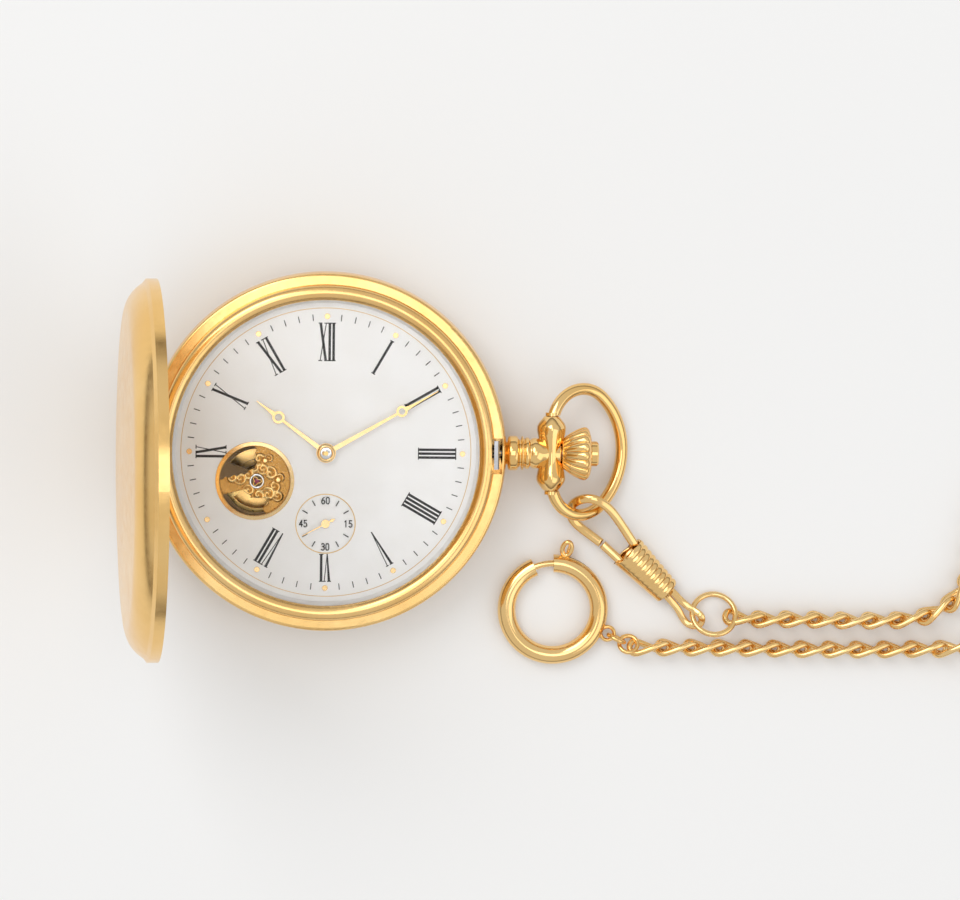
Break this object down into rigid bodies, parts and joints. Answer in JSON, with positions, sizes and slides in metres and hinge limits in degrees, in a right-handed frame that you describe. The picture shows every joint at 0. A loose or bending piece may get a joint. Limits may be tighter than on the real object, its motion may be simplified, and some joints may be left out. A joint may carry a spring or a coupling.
{
  "type": "pocket watch",
  "caption": "Full-hunter pocket watch, gold plated, with an open dial aperture, small seconds, a hinged front cover, a crown with a push button, a bow, a spring clip and a chain.",
  "frame": {"origin": "case axis at the flat of the back", "axes": "+Z along the dial's normal, +Y towards twelve o'clock, +X towards the crown at three o'clock"},
  "size_m": [0.1539, 0.0569, 0.0569],
  "materials": {
    "gold_case": "polished gold plate",
    "gold_trim": "polished gold plate",
    "chain_gold": "bright gold plate",
    "plate_brass": "gilt, matt",
    "steel": "brushed",
    "polished_steel": "polished",
    "dial_white": "satin lacquer",
    "hand_gold": "polished",
    "glass": "polished mineral glass",
    "ruby": "polished synthetic ruby",
    "gasket": "matt",
    "spring_steel": "blue-grey",
    "rehaut": "matt white"
  },
  "bodies": {
    "case": {"case_middle": "gold_case", "bezel": "gold_case", "crystal": "glass", "dial_ring": "rehaut", "back_cover": "gold_case", "hinge_pin": "gold_case", "cover_spring": "spring_steel", "catch_spring": "spring_steel", "pendant": "gold_case", "casing_ring": "plate_brass", "dial": "dial_white", "hour_dots": "gold_trim", "aperture_ring": "gold_trim", "mainplate": "plate_brass", "shock_setting": "polished_steel", "train_jewels": "ruby", "barrel_bridge": "plate_brass", "train_bridge": "plate_brass", "balance_cock": "plate_brass", "pallet_bridge": "plate_brass", "mainspring": "spring_steel", "hairspring": "spring_steel", "setting_lever": "steel", "yoke": "steel", "bridge_screws": "steel"},
    "cover": {"front_cover": "gold_case"},
    "catch": {"lid_catch": "polished_steel"},
    "stem_slide": {"crown_gasket": "gasket"},
    "crown": {"crown": "gold_case", "winding_stem": "steel"},
    "button": {"crown_button": "gold_case"},
    "winding_pinion": {"winding_pinion": "steel", "clutch_wheel": "steel"},
    "crown_wheel": {"crown_wheel": "steel"},
    "ratchet": {"ratchet_wheel": "steel", "barrel_arbor": "steel"},
    "click": {"click": "steel"},
    "barrel": {"mainspring_barrel": "plate_brass"},
    "minute": {"centre_wheel": "plate_brass", "cannon_pinion": "steel", "minute_hand": "hand_gold"},
    "minute_work": {"minute_wheel": "plate_brass"},
    "hour": {"hour_wheel": "plate_brass", "hour_hand": "hand_gold"},
    "third": {"third_wheel": "plate_brass"},
    "seconds": {"fourth_wheel": "plate_brass", "seconds_hand": "hand_gold"},
    "escape": {"escape_wheel": "steel"},
    "fork": {"pallet_fork": "steel"},
    "balance": {"balance_wheel": "plate_brass"},
    "bow": {"bow": "gold_case"},
    "clip": {"clip_hook": "chain_gold"},
    "sleeve": {"clip_sleeve": "chain_gold"},
    "chain": {"jump_ring": "chain_gold", "chain_near": "chain_gold", "chain_coil": "chain_gold", "chain_far": "chain_gold", "end_links": "chain_gold"},
    "bolt_ring": {"bolt_ring": "chain_gold"},
    "gate": {"bolt_ring_gate": "chain_gold"}
  },
  "joints": [
    {"name": "cover_hinge", "type": "hinge", "parent": "case", "child": "cover", "pos_m": [-0.024, 0.002, 0.009], "axis": [0, 1, 0], "range_deg": [-4, 83.2]},
    {"name": "crown_pull", "type": "slide", "parent": "case", "child": "stem_slide", "axis": [1, 0, 0], "range_m": [0, 0.0011]},
    {"name": "crown_turn", "type": "hinge", "parent": "stem_slide", "child": "crown", "pos_m": [0.024, 0, 0.0063], "axis": [1, 0, 0], "continuous": true},
    {"name": "button_press", "type": "slide", "parent": "crown", "child": "button", "axis": [-1, 0, 0], "range_m": [0, 0.0004], "stiffness_N_per_m": 600, "springref_m": -0.0002},
    {"name": "catch_release", "type": "slide", "parent": "case", "child": "catch", "axis": [-1, 0, 0], "range_m": [0, 0.00033]},
    {"name": "winding_pinion_turn", "type": "hinge", "parent": "case", "child": "winding_pinion", "pos_m": [0.0166, 0, 0.0063], "axis": [1, 0, 0], "continuous": true},
    {"name": "crown_wheel_turn", "type": "hinge", "parent": "case", "child": "crown_wheel", "pos_m": [0.0128, 0, 0.0025], "axis": [0, 0, 1], "continuous": true},
    {"name": "ratchet_turn", "type": "hinge", "parent": "case", "child": "ratchet", "pos_m": [0.00529, 0.00756, 0.0025], "axis": [0, 0, 1], "continuous": true},
    {"name": "click_swing", "type": "hinge", "parent": "case", "child": "click", "pos_m": [0.00012, 0.01418, 0.0025], "axis": [0, 0, 1], "range_deg": [0, 12], "stiffness_Nm_per_rad": 0.0002, "springref_deg": -5.73},
    {"name": "barrel_turn", "type": "hinge", "parent": "case", "child": "barrel", "pos_m": [0.00529, 0.00756, 0.005], "axis": [0, 0, 1], "continuous": true},
    {"name": "minute_turn", "type": "hinge", "parent": "case", "child": "minute", "pos_m": [0, 0, 0.005], "axis": [0, 0, -1], "continuous": true},
    {"name": "minute_work_turn", "type": "hinge", "parent": "case", "child": "minute_work", "pos_m": [0.00309, 0.00368, 0.0074], "axis": [0, 0, -1], "continuous": true},
    {"name": "hour_turn", "type": "hinge", "parent": "case", "child": "hour", "pos_m": [0, 0, 0.008], "axis": [0, 0, -1], "continuous": true},
    {"name": "third_turn", "type": "hinge", "parent": "case", "child": "third", "pos_m": [0.00451, -0.00562, 0.005], "axis": [0, 0, -1], "continuous": true},
    {"name": "seconds_turn", "type": "hinge", "parent": "case", "child": "seconds", "pos_m": [0, -0.0095, 0.005], "axis": [0, 0, -1], "continuous": true},
    {"name": "escape_turn", "type": "hinge", "parent": "case", "child": "escape", "pos_m": [-0.00396, -0.00711, 0.005], "axis": [0, 0, -1], "continuous": true},
    {"name": "fork_rock", "type": "hinge", "parent": "case", "child": "fork", "pos_m": [-0.00628, -0.00571, 0.005], "axis": [0, 0, 1], "range_deg": [-4, 4]},
    {"name": "balance_swing", "type": "hinge", "parent": "case", "child": "balance", "pos_m": [-0.0092, -0.00395, 0.005], "axis": [0, 0, 1], "range_deg": [-135, 135], "stiffness_Nm_per_rad": 0.00000015},
    {"name": "bow_swing", "type": "hinge", "parent": "case", "child": "bow", "pos_m": [0.0301, 0, 0.0063], "axis": [0, -1, 0], "range_deg": [-30, 100]},
    {"name": "clip_swing", "type": "hinge", "parent": "bow", "child": "clip", "pos_m": [0.0367, -0.0079, 0.003], "axis": [0, 0, 1], "range_deg": [-4, 1]},
    {"name": "sleeve_slide", "type": "slide", "parent": "clip", "child": "sleeve", "axis": [0.7025, -0.7025, -0.1142], "range_m": [0, 0.0028], "stiffness_N_per_m": 150, "springref_m": -0.001},
    {"name": "chain_swing", "type": "hinge", "parent": "clip", "child": "chain", "pos_m": [0.05015, -0.0224, 0.0018], "axis": [0, 0, 1], "range_deg": [-2, 20]},
    {"name": "bolt_ring_swing", "type": "hinge", "parent": "chain", "child": "bolt_ring", "pos_m": [0.03868, -0.02523, 0.0013], "axis": [0, 0, 1], "range_deg": [-3, 30]},
    {"name": "gate_slide", "type": "hinge", "parent": "bolt_ring", "child": "gate", "pos_m": [0.031, -0.0218, 0.00126], "axis": [0, 0, -1], "range_deg": [0, 27], "stiffness_Nm_per_rad": 0.01, "springref_deg": -11.46}
  ],
  "couplings": [
    {"joint": "catch_release", "follows": "button_press", "ratio": 0.8},
    {"joint": "winding_pinion_turn", "follows": "crown_turn", "ratio": 1},
    {"joint": "crown_wheel_turn", "follows": "crown_turn", "ratio": 0.41176},
    {"joint": "ratchet_turn", "follows": "crown_turn", "ratio": -0.24955},
    {"joint": "minute_work_turn", "follows": "minute_turn", "ratio": -0.33333},
    {"joint": "hour_turn", "follows": "minute_turn", "ratio": 0.083333},
    {"joint": "third_turn", "follows": "minute_turn", "ratio": -8},
    {"joint": "seconds_turn", "follows": "minute_turn", "ratio": 60},
    {"joint": "barrel_turn", "follows": "minute_turn", "ratio": 0.125},
    {"joint": "escape_turn", "follows": "minute_turn", "ratio": -600}
  ]
}
